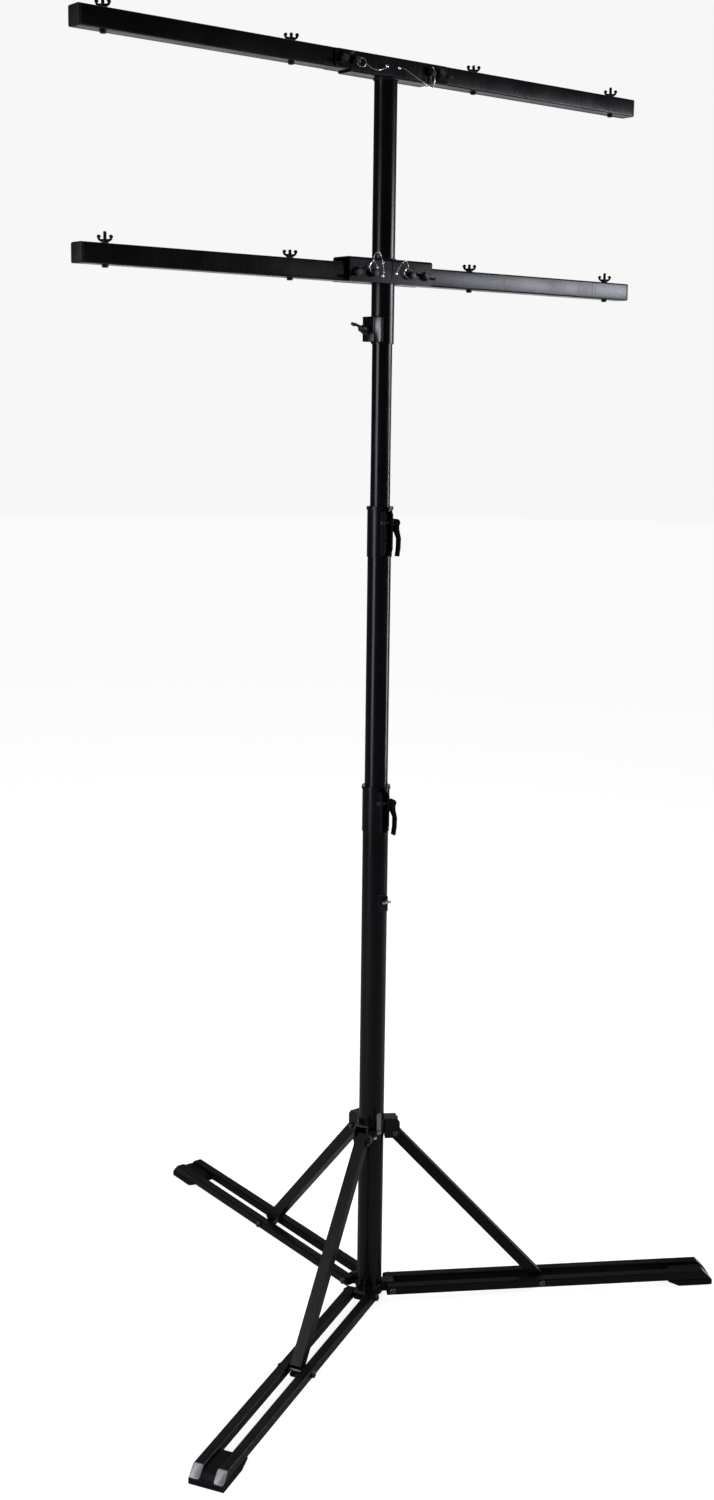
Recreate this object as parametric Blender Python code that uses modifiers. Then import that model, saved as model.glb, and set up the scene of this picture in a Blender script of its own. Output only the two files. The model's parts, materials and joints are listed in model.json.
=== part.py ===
# Telescoping lighting stand: folding double-rail tripod, three-section mast
# with lever clamps, and a swivelling head that carries two T-bars.
# Units are metres, +Z is up, the T-bars lie along X.
import bpy
import bmesh
import math
from mathutils import Matrix, Vector

# ----------------------------------------------------------------------------
# driving dimensions
# ----------------------------------------------------------------------------
# the mast axis stands off the centre of the stand's own bounding box
MAST_X = 0.0
MAST_Y = -0.15395

# tripod
LEG_AZ = {"right": -32.0, "rear": 88.0, "left": 208.0}   # degrees from +X
LEG_REACH = 0.713           # mast axis to the outer end of a foot
HINGE_R, HINGE_Z = 0.044, 0.022      # leg pivot on the hub
RAIL_W, RAIL_H, RAIL_WALL = 0.020, 0.018, 0.0015
RAIL_GAP = 0.026            # clear gap between the two rails of a leg
BRACE_AT = 0.309            # leg pivot to brace bolt, along the leg
BRACE_SQ, BRACE_WALL = 0.022, 0.002
COLLAR_PIV_R, COLLAR_PIV_Z = 0.046, 0.351   # brace pivot on the collar
FOOT_LEN, SOLE_LEN = 0.093, 0.070

# mast tubes: outer radius, inner radius, bottom, top
LOWER = (0.0250, 0.0230, 0.0138, 1.0560)
MIDDLE = (0.0225, 0.0205, 0.6000, 1.5980)
UPPER = (0.0190, 0.0170, 1.0900, 2.0300)
HEAD = (0.0215, 0.0196, 1.9080, 2.3857)
COLLAR_Z = (0.353, 0.382)
COLLAR_PIN_AZ, COLLAR_PIN_Z = -111.0, 0.3685
STOP_Z = 0.348
LOCK_Z = 0.830

# clamps
CLAMP_AZ = -105.0
CLAMP_TOP_LOWER, CLAMP_TOP_UPPER = 1.0625, 1.6043
CLAMP_BOLT_DROP = 0.0290

# T-bars
ARM_SQ, ARM_WALL = 0.034, 0.002
ARM_IN, ARM_OUT = 0.028, 0.655
LOWER_BAR_Z, UPPER_BAR_Z = 2.035, 2.4065
BOLT_X = {"lower": 0.082, "upper": 0.116}
PIN_X = {"lower": 0.045, "upper": 0.090}
FIXTURE_X = (0.218, 0.600)

SEG_TUBE = 40
SEG_BOLT = 12
GAP = 0.0003

# ----------------------------------------------------------------------------
# clean scene and collections
# ----------------------------------------------------------------------------
for ob in list(bpy.data.objects):
    bpy.data.objects.remove(ob, do_unlink=True)

parts = bpy.data.collections.new("crank_lighting_stand")
cutters = bpy.data.collections.new("cutters")
bpy.context.scene.collection.children.link(parts)
bpy.context.scene.collection.children.link(cutters)

FINISH = {
    "black_coat": ((0.018, 0.018, 0.020, 1.0), 0.42, 0.0),
    "black_tube": ((0.022, 0.023, 0.027, 1.0), 0.33, 0.0),
    "leg_coat": ((0.045, 0.045, 0.046, 1.0), 0.50, 0.0),
    "rubber": ((0.012, 0.012, 0.012, 1.0), 0.80, 0.0),
    "zinc": ((0.62, 0.62, 0.60, 1.0), 0.32, 1.0),
    "black_zinc": ((0.05, 0.05, 0.055, 1.0), 0.45, 0.8),
    "plastic": ((0.015, 0.015, 0.016, 1.0), 0.55, 0.0),
}


def finish(name, kind):
    m = bpy.data.materials.new(name)
    m.use_nodes = True
    b = m.node_tree.nodes["Principled BSDF"]
    colour, rough, metal = FINISH[kind]
    b.inputs["Base Color"].default_value = colour
    b.inputs["Roughness"].default_value = rough
    b.inputs["Metallic"].default_value = metal
    m.diffuse_color = colour
    return m


# ----------------------------------------------------------------------------
# shapes
# ----------------------------------------------------------------------------
def to_mesh(bm, name):
    bmesh.ops.recalc_face_normals(bm, faces=bm.faces)
    me = bpy.data.meshes.new(name)
    bm.to_mesh(me)
    bm.free()
    return me


def box(x0, x1, y0, y1, z0, z1):
    bm = bmesh.new()
    bmesh.ops.create_cube(bm, size=1.0)
    for v in bm.verts:
        v.co = Vector(((x0 + x1) / 2 + v.co.x * (x1 - x0),
                       (y0 + y1) / 2 + v.co.y * (y1 - y0),
                       (z0 + z1) / 2 + v.co.z * (z1 - z0)))
    return to_mesh(bm, "box")


AXIS = {"z": Matrix.Identity(4),
        "x": Matrix.Rotation(math.pi / 2, 4, "Y"),
        "y": Matrix.Rotation(-math.pi / 2, 4, "X")}


def cyl(r, a, b, axis="z", at=(0.0, 0.0), seg=SEG_BOLT, r2=None, turn=0.0):
    """Cylinder or cone from a to b along an axis; at is the other two
    coordinates in X, Y, Z order."""
    if axis == "z":
        c = Vector((at[0], at[1], (a + b) / 2))
    elif axis == "x":
        c = Vector(((a + b) / 2, at[0], at[1]))
    else:
        c = Vector((at[0], (a + b) / 2, at[1]))
    bm = bmesh.new()
    m = Matrix.Translation(c) @ AXIS[axis] @ Matrix.Rotation(turn, 4, "Z")
    bmesh.ops.create_cone(bm, cap_ends=True, cap_tris=False, segments=seg,
                          radius1=r, radius2=r if r2 is None else r2,
                          depth=abs(b - a), matrix=m)
    return to_mesh(bm, "cyl")


def outline(points, thick, plane="xz", at=0.0):
    """Flat outline filled both sides and given a thickness."""
    cu = bpy.data.curves.new("outline", "CURVE")
    cu.dimensions = "2D"
    cu.fill_mode = "BOTH"
    cu.extrude = thick / 2
    sp = cu.splines.new("POLY")
    sp.points.add(len(points) - 1)
    for p, q in zip(sp.points, points):
        p.co = (q[0], q[1], 0.0, 1.0)
    sp.use_cyclic_u = True
    ob = bpy.data.objects.new("outline", cu)
    bpy.context.scene.collection.objects.link(ob)
    deps = bpy.context.evaluated_depsgraph_get()
    me = bpy.data.meshes.new_from_object(ob.evaluated_get(deps))
    bm = bmesh.new()
    bm.from_mesh(me)
    bmesh.ops.remove_doubles(bm, verts=bm.verts, dist=0.00005)
    if plane == "xz":
        m = Matrix(((1, 0, 0, 0), (0, 0, 1, at), (0, 1, 0, 0), (0, 0, 0, 1)))
    elif plane == "yz":
        m = Matrix(((0, 0, 1, at), (1, 0, 0, 0), (0, 1, 0, 0), (0, 0, 0, 1)))
    else:
        m = Matrix.Translation((0, 0, at))
    bmesh.ops.transform(bm, matrix=m, verts=bm.verts)
    bpy.data.objects.remove(ob, do_unlink=True)
    bpy.data.meshes.remove(me)
    return to_mesh(bm, "outline")


def arc(cx, cy, r, a0, a1, n):
    return [(cx + r * math.cos(math.radians(a0 + (a1 - a0) * i / n)),
             cy + r * math.sin(math.radians(a0 + (a1 - a0) * i / n)))
            for i in range(n + 1)]


def empty(name, parent=None, loc=(0, 0, 0), rot=(0, 0, 0)):
    e = bpy.data.objects.new(name, None)
    e.empty_display_size = 0.02
    parts.objects.link(e)
    e.parent = parent
    e.location = loc
    e.rotation_euler = rot
    return e


def piece(name, me, kind, parent, loc=(0, 0, 0), rot=(0, 0, 0), smooth=False):
    me.name = name
    me.materials.clear()
    me.materials.append(finish(name + "_finish", kind))
    ob = bpy.data.objects.new(name, me)
    parts.objects.link(ob)
    ob.parent = parent
    ob.location = loc
    ob.rotation_euler = rot
    if smooth:
        for p in me.polygons:
            p.use_smooth = True
    return ob


def tool(ob, me, op, loc=(0, 0, 0), rot=(0, 0, 0)):
    """Boolean a mesh onto a piece; loc and rot are in the piece's frame."""
    c = bpy.data.objects.new(ob.name + "_tool", me)
    cutters.objects.link(c)
    c.parent = ob
    c.location = loc
    c.rotation_euler = rot
    c.hide_render = True
    c.display_type = "WIRE"
    m = ob.modifiers.new("Boolean", "BOOLEAN")
    m.operation = op
    m.solver = "EXACT"
    m.object = c
    return c


def cut(ob, me, loc=(0, 0, 0), rot=(0, 0, 0)):
    return tool(ob, me, "DIFFERENCE", loc, rot)


def join(ob, me, loc=(0, 0, 0), rot=(0, 0, 0)):
    return tool(ob, me, "UNION", loc, rot)


def bevel(ob, width, angle=40.0, segments=1):
    m = ob.modifiers.new("Bevel", "BEVEL")
    m.width = width
    m.segments = segments
    m.limit_method = "ANGLE"
    m.angle_limit = math.radians(angle)
    return m


def rad(a):
    return math.radians(a)


def tube(name, dims, kind, parent, loc=(0, 0, 0), seg=SEG_TUBE):
    ro, ri, z0, z1 = dims
    ob = piece(name, cyl(ro, z0, z1, seg=seg), kind, parent, loc, smooth=False)
    cut(ob, cyl(ri, z0 - 0.02, z1 + 0.02, seg=seg))
    return ob


# ----------------------------------------------------------------------------
# linkage geometry
# ----------------------------------------------------------------------------
BRACE_DR = HINGE_R + BRACE_AT - COLLAR_PIV_R
BRACE_DZ = COLLAR_PIV_Z - HINGE_Z
BRACE_LEN = math.hypot(BRACE_DR, BRACE_DZ)
BRACE_TILT = math.atan2(BRACE_DZ, BRACE_DR)
RAIL_Y = RAIL_GAP / 2 + RAIL_W / 2
LEG_LEN = LEG_REACH - HINGE_R

stand = empty("stand", loc=(MAST_X, MAST_Y, 0.0))

# ----------------------------------------------------------------------------
# hub and lower tube
# ----------------------------------------------------------------------------
hub = piece("base_hub", cyl(0.0275, 0.0105, 0.0265, seg=SEG_TUBE), "black_coat", stand)
for az in LEG_AZ.values():
    tab = outline([(0.020, 0.0125), (0.0500, 0.0125), (0.0535, 0.0160),
                   (0.0535, 0.0280), (0.0500, 0.0315), (0.0262, 0.0315),
                   (0.0262, 0.0262), (0.0200, 0.0262)], 0.023)
    join(hub, tab, rot=(0, 0, rad(az)))
cut(hub, cyl(0.0253, 0.0135, 0.0450, seg=SEG_TUBE))
cut(hub, cyl(0.0080, 0.0000, 0.0300, seg=24))
for az in LEG_AZ.values():
    cut(hub, cyl(0.0044, -0.02, 0.02, "y", (HINGE_R, HINGE_Z)), rot=(0, 0, rad(az)))

lower = piece("lower_tube", cyl(LOWER[0], LOWER[2], LOWER[3], seg=SEG_TUBE), "black_tube", stand)
join(lower, box(0.0236, 0.0340, -0.0080, 0.0080, LOCK_Z - 0.0150, LOCK_Z + 0.0150), rot=(0, 0, rad(-92.0)))
cut(lower, cyl(LOWER[1], LOWER[2] - 0.02, LOWER[3] + 0.02, seg=SEG_TUBE))
cut(lower, cyl(0.0034, 0.0150, 0.0400, "x", (0.0, LOCK_Z + 0.005)), rot=(0, 0, rad(-92.0)))
cut(lower, cyl(0.0033, 0.0180, 0.0300, "x", (0.0, STOP_Z)), rot=(0, 0, rad(-113.0)))

stop = piece("collar_stop_rivet", cyl(0.0029, 0.0232, 0.0262, "x"), "zinc", stand,
             loc=(0, 0, STOP_Z), rot=(0, 0, rad(-113.0)))
join(stop, cyl(0.0046, 0.0254, 0.0292, "x", r2=0.0032))

hp = empty("height_lock_axis", stand, (0, 0, LOCK_Z + 0.005), (0, 0, rad(-92.0)))
hpin = piece("height_lock_pin", cyl(0.0030, 0.0229, 0.0390, "x"), "zinc", hp)
join(hpin, cyl(0.0026, -0.0095, 0.0095, "y", (0.0395, 0.0), seg=12))

# ----------------------------------------------------------------------------
# sliding leg collar
# ----------------------------------------------------------------------------
col = piece("leg_collar", cyl(0.0290, COLLAR_Z[0], COLLAR_Z[1], seg=SEG_TUBE), "black_coat", stand)
for az in LEG_AZ.values():
    ear = outline([(0.0262, COLLAR_PIV_Z - 0.0100), (0.0540, COLLAR_PIV_Z - 0.0100),
                   (0.0560, COLLAR_PIV_Z - 0.0060), (0.0560, COLLAR_Z[1] - 0.0080),
                   (0.0500, COLLAR_Z[1]), (0.0262, COLLAR_Z[1])], 0.029)
    join(col, ear, rot=(0, 0, rad(az)))
join(col, cyl(0.0070, 0.0265, 0.0410, "x", (0.0, COLLAR_PIN_Z), seg=24), rot=(0, 0, rad(COLLAR_PIN_AZ)))
for az in LEG_AZ.values():
    cut(col, box(0.0302, 0.0700, -0.0120, 0.0120, 0.3200, COLLAR_Z[1] - 0.0025), rot=(0, 0, rad(az)))
cut(col, cyl(0.0255, 0.30, 0.40, seg=SEG_TUBE))
for az in LEG_AZ.values():
    cut(col, cyl(0.0044, -0.02, 0.02, "y", (COLLAR_PIV_R, COLLAR_PIV_Z)), rot=(0, 0, rad(az)))
cut(col, cyl(0.0034, 0.0200, 0.0500, "x", (0.0, COLLAR_PIN_Z)), rot=(0, 0, rad(COLLAR_PIN_AZ)))

cp = empty("collar_lock_axis", stand, (0, 0, COLLAR_PIN_Z), (0, 0, rad(COLLAR_PIN_AZ)))
cpin = piece("collar_lock_pin", cyl(0.0030, 0.0256, 0.0470, "x"), "zinc", cp)
join(cpin, box(0.0450, 0.0476, -0.0045, 0.0045, -0.0060, 0.0390))
join(cpin, cyl(0.0050, 0.0462, 0.0500, "x", r2=0.0040))

# ----------------------------------------------------------------------------
# three legs, feet, braces and their bolts
# ----------------------------------------------------------------------------
def bolt_with_nut(name, half, parent, loc, rot, shank=0.0040, head=0.0066, kind="zinc"):
    """Through bolt along Y with a domed head at -Y and a hex nut at +Y."""
    ob = piece(name, cyl(shank, -half - 0.0020, half + 0.0060, "y"), kind, parent, loc, rot)
    join(ob, cyl(head, -half - 0.0045, -half - GAP, "y", r2=head * 0.98, seg=24))
    join(ob, cyl(head * 1.05, half + GAP, half + 0.0048, "y", seg=6))
    return ob


for tag, az in LEG_AZ.items():
    piv = empty("leg_%s_pivot" % tag, stand,
                (HINGE_R * math.cos(rad(az)), HINGE_R * math.sin(rad(az)), HINGE_Z),
                (0, 0, rad(az)))
    h = RAIL_H / 2
    rail = ([(LEG_LEN, -h), (LEG_LEN, -h + 0.0004), (LEG_LEN - 2 * h, h)]
            + arc(-0.0120 + 0.0070, h - 0.0070, 0.0070, 90, 180, 5)
            + arc(-0.0120 + 0.0040, -h + 0.0040, 0.0040, 180, 270, 3))
    for side, sy in (("a", -1), ("b", 1)):
        r = piece("leg_rail_%s_%s" % (tag, side), outline(rail, RAIL_W, at=sy * RAIL_Y), "leg_coat", piv)
        w = RAIL_WALL
        cut(r, box(-0.030, LEG_LEN - 0.0240, sy * RAIL_Y - RAIL_W / 2 + w, sy * RAIL_Y + RAIL_W / 2 - w, -h + w, h - w))
        for x in (0.0, BRACE_AT):
            cut(r, cyl(0.0044, sy * RAIL_Y - 0.02, sy * RAIL_Y + 0.02, "y", (x, 0.0)))
    # shoe: sole plate with a bevelled heel, and a tongue between the rails
    top, low = -h - 0.0005, -HINGE_Z
    foot = piece("foot_%s" % tag,
                 outline([(LEG_LEN - SOLE_LEN, low), (LEG_LEN, low), (LEG_LEN, top),
                          (LEG_LEN - FOOT_LEN, top), (LEG_LEN - FOOT_LEN, top - 0.0012)],
                         RAIL_GAP + 2 * RAIL_W), "rubber", piv)
    join(foot, outline([(LEG_LEN - FOOT_LEN + 0.003, top - 0.002), (LEG_LEN - 0.0020, top - 0.002),
                        (LEG_LEN - 0.0020, top + 0.0030), (LEG_LEN - 0.0100, top + 0.0105),
                        (LEG_LEN - FOOT_LEN + 0.012, top + 0.0105), (LEG_LEN - FOOT_LEN + 0.003, top + 0.0030)],
                       RAIL_GAP - 0.0010))
    bolt_with_nut("leg_pivot_bolt_%s" % tag, RAIL_GAP / 2 + RAIL_W, stand, piv.location, (0, 0, rad(az)))
    bolt_with_nut("brace_foot_bolt_%s" % tag, RAIL_GAP / 2 + RAIL_W, piv, (BRACE_AT, 0, 0), (0, 0, 0))

    bp = empty("brace_%s_pivot" % tag, stand,
               (COLLAR_PIV_R * math.cos(rad(az)), COLLAR_PIV_R * math.sin(rad(az)), COLLAR_PIV_Z),
               (0, 0, rad(az)))
    q = BRACE_SQ / 2
    br = piece("brace_%s" % tag, box(-0.0100, BRACE_LEN + 0.0110, -q, q, -q, q), "leg_coat", bp, rot=(0, BRACE_TILT, 0))
    cut(br, box(-0.03, BRACE_LEN + 0.03, -q + BRACE_WALL, q - BRACE_WALL, -q + BRACE_WALL, q - BRACE_WALL))
    cut(br, cyl(0.0044, -0.02, 0.02, "y", (0.0, 0.0)))
    # open half-lap where the brace rests on the leg's bolt
    cut(br, cyl(0.0050, -0.02, 0.02, "y", (BRACE_LEN, 0.0), seg=24))
    cut(br, box(BRACE_LEN - 0.0050, BRACE_LEN + 0.03, -0.02, 0.02, 0.0, 0.03))
    bolt_with_nut("brace_collar_bolt_%s" % tag, 0.0145, stand, bp.location, (0, 0, rad(az)), head=0.0058)

# ----------------------------------------------------------------------------
# telescoping tubes
# ----------------------------------------------------------------------------
middle = tube("middle_tube", MIDDLE, "black_tube", stand)
upper = piece("upper_tube", cyl(UPPER[0], UPPER[2], UPPER[3], seg=SEG_TUBE), "black_tube", stand)
join(upper, cyl(0.0202, UPPER[2] + 0.002, UPPER[2] + 0.030, seg=SEG_TUBE))
cut(upper, cyl(UPPER[1], UPPER[2] - 0.02, UPPER[3] + 0.02, seg=SEG_TUBE))

# ----------------------------------------------------------------------------
# lever clamps
# ----------------------------------------------------------------------------
def lever_clamp(tag, tube_r, inner_r, lip_top, band_h):
    """Split band round the outer tube's mouth, pinch bolt and cam lever.
    In the clamp's frame X runs through the ears and Y along the bolt."""
    e = empty(tag + "_clamp", stand, (0, 0, lip_top), (0, 0, rad(CLAMP_AZ)))
    ro = tube_r + 0.0015
    body = piece(tag + "_clamp_body", cyl(ro, -band_h, -0.0030, seg=SEG_TUBE), "black_coat", e)
    join(body, cyl(ro + 0.0016, -0.0062, 0.0, seg=SEG_TUBE))
    for s in (-1, 1):
        ear = [(tube_r + 0.0006, -band_h + 0.003), (tube_r + 0.0130, -band_h + 0.003), (tube_r + 0.0200, -band_h + 0.018),
               (tube_r + 0.0200, -0.014), (tube_r + 0.0150, -0.0075), (tube_r + 0.0006, -0.0075)]
        join(body, outline(ear, 0.0030, at=s * 0.0070))
    cut(body, cyl(tube_r + 0.0003, -band_h - 0.02, -0.0062, seg=SEG_TUBE))
    cut(body, cyl(inner_r + 0.0004, -0.0200, 0.0200, seg=SEG_TUBE))
    cut(body, box(0.0, tube_r + 0.030, -0.0055, 0.0055, -band_h - 0.02, 0.02))
    px, pz = tube_r + 0.0120, -CLAMP_BOLT_DROP
    cut(body, cyl(0.0034, -0.02, 0.02, "y", (px, pz)))
    ty = 0.0172
    bolt = piece(tag + "_clamp_bolt", cyl(0.0030, -0.0120, ty - 0.0030, "y"), "zinc", e, (px, 0, pz))
    join(bolt, cyl(0.0055, -0.0132, -0.0088, "y", seg=6))
    join(bolt, cyl(0.0052, -0.0024, 0.0024, "x", (ty, 0.0), seg=24))
    cut(bolt, cyl(0.0024, -0.02, 0.02, "x", (ty, 0.0)))
    le = empty(tag + "_lever_axis", e, (px, ty, pz))
    lever = piece(tag + "_clamp_lever", cyl(0.0020, -0.0062, 0.0062, "x"), "black_coat", le)
    for s in (-1, 1):
        x0, x1 = sorted((s * 0.0030, s * 0.0058))
        join(lever, cyl(0.0072, x0, x1, "x", seg=24))
        join(lever, box(x0, x1, -0.0030, 0.0052, -0.0180, -0.0010))
    grip = [(-0.0028, -0.0140), (0.0050, -0.0140), (0.0086, -0.0300), (0.0080, -0.0480), (0.0056, -0.0640),
            (0.0020, -0.0640), (0.0040, -0.0480), (0.0042, -0.0300)]
    join(lever, outline(grip, 0.0140, plane="yz"))
    return e


lever_clamp("lower", LOWER[0], MIDDLE[0], CLAMP_TOP_LOWER, 0.0905)
lever_clamp("upper", MIDDLE[0], UPPER[0], CLAMP_TOP_UPPER, 0.0960)

# ----------------------------------------------------------------------------
# wing screws
# ----------------------------------------------------------------------------
def wings(span, high, thick, base):
    """Butterfly outline across X, standing on Z = 0."""
    s = span / 2
    right = [(base, 0.0), (base * 1.25, high * 0.18), (s * 0.86, high * 0.52), (s, high * 0.80),
             (s * 0.92, high), (s * 0.66, high * 0.94), (base * 0.75, high * 0.60), (base * 0.45, high * 0.55)]
    return outline(right + [(-x, z) for x, z in reversed(right)], thick)


# ----------------------------------------------------------------------------
# swivelling head tube and its wing screw
# ----------------------------------------------------------------------------
HEAD_AZ = -170.0
head = piece("mast_head_tube", cyl(HEAD[0], HEAD[2], HEAD[3], seg=SEG_TUBE), "black_tube", stand)
join(head, box(0.0100, 0.0415, -0.0140, 0.0140, 1.9110, 1.9570), rot=(0, 0, rad(HEAD_AZ)))
cut(head, cyl(HEAD[1], HEAD[2] - 0.02, HEAD[3] + 0.02, seg=SEG_TUBE))
cut(head, cyl(0.0044, 0.0150, 0.0600, "x", (0.0, 1.9340)), rot=(0, 0, rad(HEAD_AZ)))

hs = empty("head_screw_axis", stand, (0, 0, 1.9340), (0, 0, rad(HEAD_AZ)))
screw = piece("head_wing_screw", cyl(0.0040, 0.0194, 0.0580, "x"), "black_zinc", hs)
join(screw, cyl(0.0075, 0.0530, 0.0640, "x", r2=0.0060, seg=24))
# wings stand out along the screw's own axis
join(screw, wings(0.040, 0.020, 0.0036, 0.0070), loc=(0.0550, 0, 0), rot=(0, math.pi / 2, 0))

# ----------------------------------------------------------------------------
# T-bar brackets
# ----------------------------------------------------------------------------
ZL = LOWER_BAR_Z
lb = piece("lower_bar_bracket", box(-0.100, 0.100, -0.0250, 0.0250, ZL - 0.0170, ZL + 0.0275), "black_coat", stand)
cut(lb, box(-0.200, 0.200, -0.0220, 0.0220, ZL - 0.0400, ZL + 0.0245))
cut(lb, cyl(0.0219, ZL + 0.010, ZL + 0.05, seg=48))
ZU = UPPER_BAR_Z
ub = piece("upper_bar_bracket", box(-0.134, 0.134, -0.0206, 0.0206, ZU - 0.0205, ZU + 0.0160), "black_coat", stand)
cut(ub, box(-0.200, 0.200, -0.0176, 0.0176, ZU - 0.0175, ZU + 0.0400))
for s in (-1, 1):
    # the floor of the channel is shorter than its two sides
    x0, x1 = sorted((s * 0.097, s * 0.200))
    cut(ub, box(x0, x1, -0.0176, 0.0176, ZU - 0.0400, ZU - 0.0100))
for b, z, level in ((lb, ZL, "lower"), (ub, ZU, "upper")):
    for s in (-1, 1):
        cut(b, cyl(0.0044, -0.04, 0.04, "y", (s * BOLT_X[level], z), seg=24))
        cut(b, cyl(0.0044, -0.04, 0.04, "y", (s * PIN_X[level], z), seg=24))

# ----------------------------------------------------------------------------
# arms, their wing bolts and lock pins, and the fixture bolts
# ----------------------------------------------------------------------------
for level, z, plate in (("lower", ZL, 0.0250), ("upper", ZU, 0.0206)):
    for side, s in (("left", -1), ("right", 1)):
        q = ARM_SQ / 2
        turn = 0.0 if s > 0 else math.pi
        arm = piece("%s_arm_%s" % (level, side), box(ARM_IN, ARM_OUT, -q, q, -q, q), "black_coat", stand,
                    (0, 0, z), (0, 0, turn))
        bevel(arm, 0.0018, segments=2)
        if level == "lower":
            for x in (BOLT_X[level], PIN_X[level]):
                join(arm, cyl(0.0080, -0.0216, 0.0216, "y", (x, 0.0), seg=24))
        cut(arm, box(ARM_IN - 0.02, ARM_OUT - 0.0030, -q + ARM_WALL, q - ARM_WALL, -q + ARM_WALL, q - ARM_WALL))
        for x in (BOLT_X[level], PIN_X[level]):
            cut(arm, cyl(0.0044, -0.03, 0.03, "y", (x, 0.0)))
        for x in FIXTURE_X:
            cut(arm, cyl(0.0034, -0.03, 0.03, "z", (x, 0.0)))
        # wing bolt: hex nut behind, wing in front
        wb = piece("%s_arm_bolt_%s" % (level, side), cyl(0.0040, -plate - 0.0060, plate + 0.0095, "y"), "black_zinc",
                   stand, (s * BOLT_X[level], 0, z))
        join(wb, cyl(0.0075, plate + GAP, plate + 0.0065, "y", seg=6))
        join(wb, cyl(0.0078, -plate - 0.0090, -plate - GAP, "y", seg=24))
        join(wb, wings(0.034, 0.0145, 0.0034, 0.0070), loc=(0, -plate - 0.0040, 0),
             rot=(math.pi / 2, rad(35.0 if s < 0 else -20.0), 0))
        # quick-release pin
        pn = piece("%s_arm_pin_%s" % (level, side), cyl(0.0040, -plate - 0.0040, plate + 0.0080, "y"), "zinc",
                   stand, (s * PIN_X[level], 0, z))
        join(pn, cyl(0.0070, -plate - 0.0100, -plate - GAP, "y", seg=24))
        for i, x in enumerate(FIXTURE_X):
            high = 0.0200 if i else 0.0150
            fb = piece("%s_fixture_bolt_%s_%s" % (level, side, ("inner", "outer")[i]),
                       cyl(0.0030, -q - 0.0030, q + high, "z"), "black_zinc", stand, (s * x, 0, z))
            join(fb, cyl(0.0055, -q - 0.0046, -q - GAP, "z", seg=6))
            join(fb, cyl(0.0058, q + GAP, q + 0.0064, "z", r2=0.0048, seg=16))
            join(fb, wings(0.0270, 0.0110, 0.0024, 0.0052), loc=(0, 0, q + 0.0030), rot=(0, 0, rad(12.0 + 25.0 * i)))

for c in cutters.objects:
    c.hide_render = True
bpy.context.view_layer.update()
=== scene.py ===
import bpy
import bmesh
import json
import math
from mathutils import Matrix, Vector

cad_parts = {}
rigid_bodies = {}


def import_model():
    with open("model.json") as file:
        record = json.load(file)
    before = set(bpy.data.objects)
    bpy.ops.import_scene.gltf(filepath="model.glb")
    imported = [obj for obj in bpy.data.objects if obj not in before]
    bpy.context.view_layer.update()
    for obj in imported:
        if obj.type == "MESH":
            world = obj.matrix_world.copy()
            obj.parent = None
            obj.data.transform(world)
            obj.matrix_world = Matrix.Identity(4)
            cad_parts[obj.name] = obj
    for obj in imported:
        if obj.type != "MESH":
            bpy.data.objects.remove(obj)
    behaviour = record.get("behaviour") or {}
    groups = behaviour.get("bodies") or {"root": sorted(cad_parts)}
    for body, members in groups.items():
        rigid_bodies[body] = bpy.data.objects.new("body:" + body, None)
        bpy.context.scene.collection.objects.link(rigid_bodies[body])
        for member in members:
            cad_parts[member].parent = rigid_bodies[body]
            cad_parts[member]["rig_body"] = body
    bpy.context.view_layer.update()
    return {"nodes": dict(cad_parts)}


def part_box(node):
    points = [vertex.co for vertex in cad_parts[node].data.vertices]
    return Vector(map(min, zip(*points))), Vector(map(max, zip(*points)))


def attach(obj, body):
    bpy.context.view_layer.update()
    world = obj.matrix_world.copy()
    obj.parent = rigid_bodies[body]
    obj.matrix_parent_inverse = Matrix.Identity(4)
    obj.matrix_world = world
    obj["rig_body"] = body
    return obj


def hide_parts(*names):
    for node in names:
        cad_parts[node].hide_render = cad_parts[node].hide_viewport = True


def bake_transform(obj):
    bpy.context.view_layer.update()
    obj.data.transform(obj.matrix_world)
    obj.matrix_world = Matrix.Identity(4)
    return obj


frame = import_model()

# ---------------------------------------------------------------------------
# dimensions, in metres, in the stand's own frame (mast axis at x = y = 0)
# ---------------------------------------------------------------------------
_lo, _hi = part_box("middle_tube")
MAST = Matrix.Translation(((_lo.x + _hi.x) / 2, (_lo.y + _hi.y) / 2, 0.0))
LEG_AZ = {"right": -32.0, "rear": 88.0, "left": 208.0}
HINGE_R, HINGE_Z = 0.044, 0.022
RAIL_W, RAIL_H, RAIL_WALL, RAIL_GAP = 0.020, 0.018, 0.0015, 0.026
RAIL_Y = RAIL_GAP / 2 + RAIL_W / 2
LEG_LEN = 0.713 - HINGE_R
BRACE_AT = 0.309
BRACE_SQ, BRACE_WALL = 0.022, 0.002
COLLAR_PIV_R, COLLAR_PIV_Z = 0.046, 0.351
BRACE_LEN = math.hypot(HINGE_R + BRACE_AT - COLLAR_PIV_R, COLLAR_PIV_Z - HINGE_Z)
BRACE_TILT = math.atan2(COLLAR_PIV_Z - HINGE_Z, HINGE_R + BRACE_AT - COLLAR_PIV_R)
FOOT_LEN, SOLE_LEN = 0.093, 0.070
LOWER = (0.0250, 0.0230, 0.0138, 1.0560)
MIDDLE = (0.0225, 0.0205, 0.6000, 1.5980)
UPPER = (0.0190, 0.0170, 1.0900, 2.0300)
HEAD = (0.0215, 0.0196, 1.9080, 2.3857)
LOCK_Z = 0.830
COLLAR_PIN_AZ, COLLAR_PIN_Z, STOP_Z = -111.0, 0.3685, 0.348
CLAMP_AZ, CLAMP_DROP = -105.0, 0.0290
CLAMPS = {"lower": (0.0250, 1.0625), "upper": (0.0225, 1.6043)}
HEAD_AZ, HEAD_SCREW_Z = -170.0, 1.9340
ARM_SQ, ARM_WALL, ARM_IN, ARM_OUT = 0.034, 0.002, 0.028, 0.655
ZL, ZU = 2.035, 2.4065
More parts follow.
